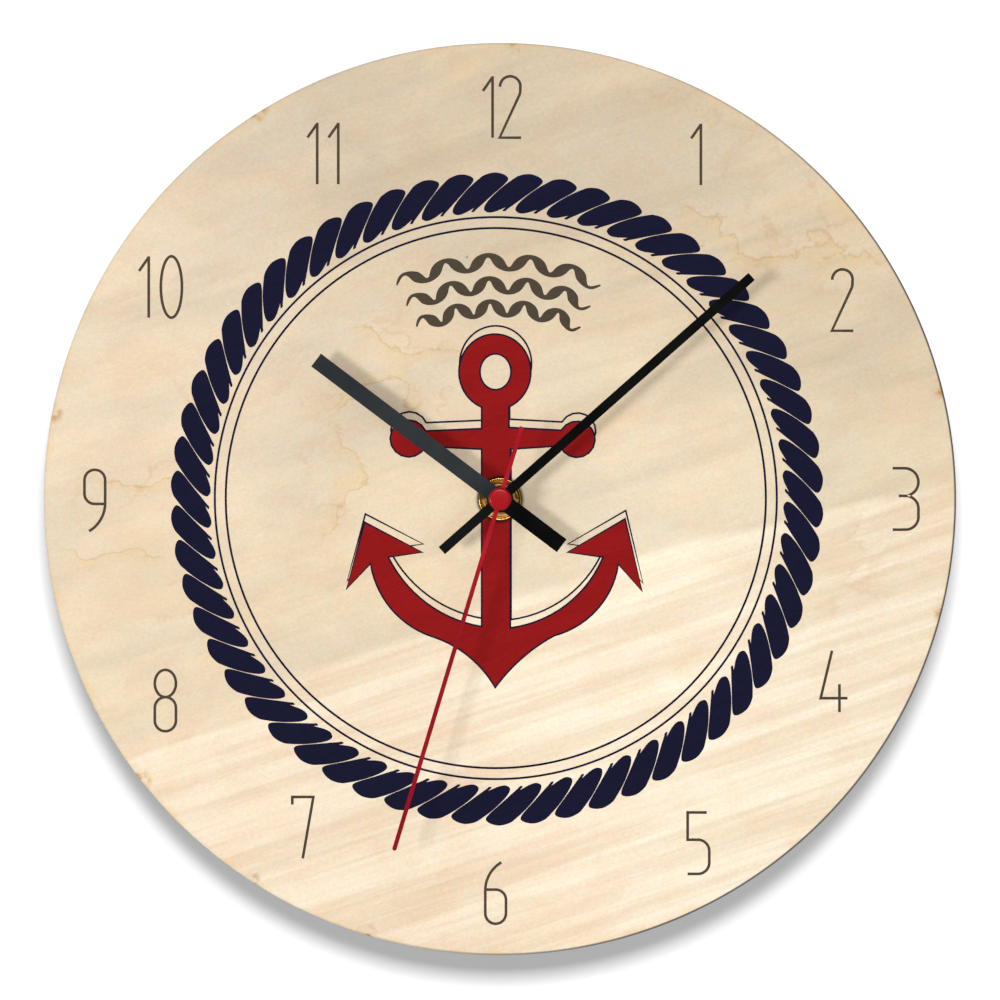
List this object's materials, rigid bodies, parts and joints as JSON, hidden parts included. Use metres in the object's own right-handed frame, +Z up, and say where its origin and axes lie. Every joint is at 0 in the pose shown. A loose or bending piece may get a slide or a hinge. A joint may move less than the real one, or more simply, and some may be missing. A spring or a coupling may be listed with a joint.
{
  "type": "wall clock",
  "caption": "Round plywood wall clock: a flat dial clamped to a quartz movement, with hour, minute and second hands on coaxial arbors and a hanger behind.",
  "frame": {"origin": "on the hand axis in the wall plane, at the back face of the movement", "axes": "+X to the right as the dial is seen, +Y into the wall, +Z up; the dial faces -Y"},
  "size_m": [0.3, 0.0382, 0.3],
  "materials": {
    "dial_disc": "pale plywood, laser-cut edge",
    "hanger_plate": "zinc-plated steel",
    "rubber_pad": "matt rubber",
    "brass_washer": "turned brass",
    "hex_nut": "milled brass",
    "threaded_bush": "turned brass",
    "rear_housing": "fine-grained black moulding",
    "front_cover": "fine-grained black moulding",
    "middle_plate": "natural moulding",
    "second_wheel": "natural moulding",
    "second_arbor": "ground steel",
    "third_wheel": "natural moulding",
    "intermediate_wheel": "coloured moulding",
    "centre_wheel": "natural moulding",
    "rotor_pinion": "natural moulding",
    "rotor_magnet": "sintered magnet",
    "minute_arbor": "turned brass",
    "motion_wheel": "natural moulding",
    "hour_wheel": "natural moulding",
    "setting_knob": "black moulding",
    "setting_pinion": "natural moulding",
    "stator_plate": "stamped sheet",
    "coil_core": "stamped sheet",
    "coil_bobbin": "coloured moulding",
    "coil_winding": "enamelled copper wire",
    "circuit_board": "brown board",
    "chip_cover": "black resin",
    "quartz_crystal": "drawn can",
    "positive_contact": "nickel-plated strip",
    "negative_contact": "nickel-plated strip",
    "battery_can": "plated can",
    "battery_sleeve": "printed wrap, left plain",
    "hour_hand_collet": "turned brass",
    "minute_hand_collet": "turned brass",
    "second_hand_tube": "drawn tube",
    "hour_hand_blade": "black lacquer",
    "minute_hand_blade": "black lacquer",
    "second_hand_blade": "red lacquer",
    "second_hand_cap": "red lacquer"
  },
  "bodies": {
    "clock_body": {"dial_disc": "dial_disc", "hanger_plate": "hanger_plate", "rubber_pad": "rubber_pad", "brass_washer": "brass_washer", "hex_nut": "hex_nut", "threaded_bush": "threaded_bush", "rear_housing": "rear_housing", "front_cover": "front_cover", "middle_plate": "middle_plate", "stator_plate": "stator_plate", "coil_core": "coil_core", "coil_bobbin": "coil_bobbin", "coil_winding": "coil_winding", "circuit_board": "circuit_board", "chip_cover": "chip_cover", "quartz_crystal": "quartz_crystal", "positive_contact": "positive_contact", "negative_contact": "negative_contact"},
    "second_hand": {"second_arbor": "second_arbor", "second_wheel": "second_wheel", "second_hand_blade": "second_hand_blade", "second_hand_cap": "second_hand_cap", "second_hand_tube": "second_hand_tube"},
    "minute_hand": {"minute_arbor": "minute_arbor", "minute_hand_blade": "minute_hand_blade", "minute_hand_collet": "minute_hand_collet"},
    "hour_hand": {"hour_wheel": "hour_wheel", "hour_hand_blade": "hour_hand_blade", "hour_hand_collet": "hour_hand_collet"},
    "rotor": {"rotor_magnet": "rotor_magnet", "rotor_pinion": "rotor_pinion"},
    "intermediate": {"intermediate_wheel": "intermediate_wheel"},
    "third": {"third_wheel": "third_wheel"},
    "centre": {"centre_wheel": "centre_wheel"},
    "motion": {"motion_wheel": "motion_wheel"},
    "knob": {"setting_knob": "setting_knob", "setting_pinion": "setting_pinion"},
    "battery": {"battery_can": "battery_can", "battery_sleeve": "battery_sleeve"}
  },
  "joints": [
    {"name": "second_hand_turn", "type": "hinge", "parent": "clock_body", "child": "second_hand", "pos_m": [0, -0.0022, 0], "axis": [0, 1, 0], "continuous": true},
    {"name": "minute_hand_turn", "type": "hinge", "parent": "clock_body", "child": "minute_hand", "pos_m": [0, -0.0107, 0], "axis": [0, 1, 0], "continuous": true},
    {"name": "hour_hand_turn", "type": "hinge", "parent": "clock_body", "child": "hour_hand", "pos_m": [0, -0.0123, 0], "axis": [0, 1, 0], "continuous": true},
    {"name": "rotor_turn", "type": "hinge", "parent": "clock_body", "child": "rotor", "pos_m": [-0.00354, -0.0046, 0.01693], "axis": [0, 1, 0], "continuous": true},
    {"name": "intermediate_turn", "type": "hinge", "parent": "clock_body", "child": "intermediate", "pos_m": [-0.005, -0.0046, 0.00866], "axis": [0, 1, 0], "continuous": true},
    {"name": "third_turn", "type": "hinge", "parent": "clock_body", "child": "third", "pos_m": [0.01, -0.0034, 0], "axis": [0, 1, 0], "continuous": true},
    {"name": "centre_turn", "type": "hinge", "parent": "clock_body", "child": "centre", "pos_m": [0, -0.0058, 0], "axis": [0, 1, 0], "continuous": true},
    {"name": "motion_turn", "type": "hinge", "parent": "clock_body", "child": "motion", "pos_m": [-0.011, -0.0109, 0], "axis": [0, 1, 0], "continuous": true},
    {"name": "knob_turn", "type": "hinge", "parent": "clock_body", "child": "knob", "pos_m": [-0.02053, -0.0004, 0.0055], "axis": [0, 1, 0], "continuous": true},
    {"name": "battery_slide", "type": "slide", "parent": "clock_body", "child": "battery", "axis": [0, 1, 0], "range_m": [0, 0.018]}
  ],
  "couplings": [
    {"joint": "intermediate_turn", "follows": "second_hand_turn", "ratio": -5},
    {"joint": "rotor_turn", "follows": "second_hand_turn", "ratio": 30},
    {"joint": "third_turn", "follows": "second_hand_turn", "ratio": -0.125},
    {"joint": "centre_turn", "follows": "second_hand_turn", "ratio": 0.016667},
    {"joint": "motion_turn", "follows": "minute_hand_turn", "ratio": -0.33333},
    {"joint": "hour_hand_turn", "follows": "minute_hand_turn", "ratio": 0.083333},
    {"joint": "knob_turn", "follows": "minute_hand_turn", "ratio": 1}
  ]
}
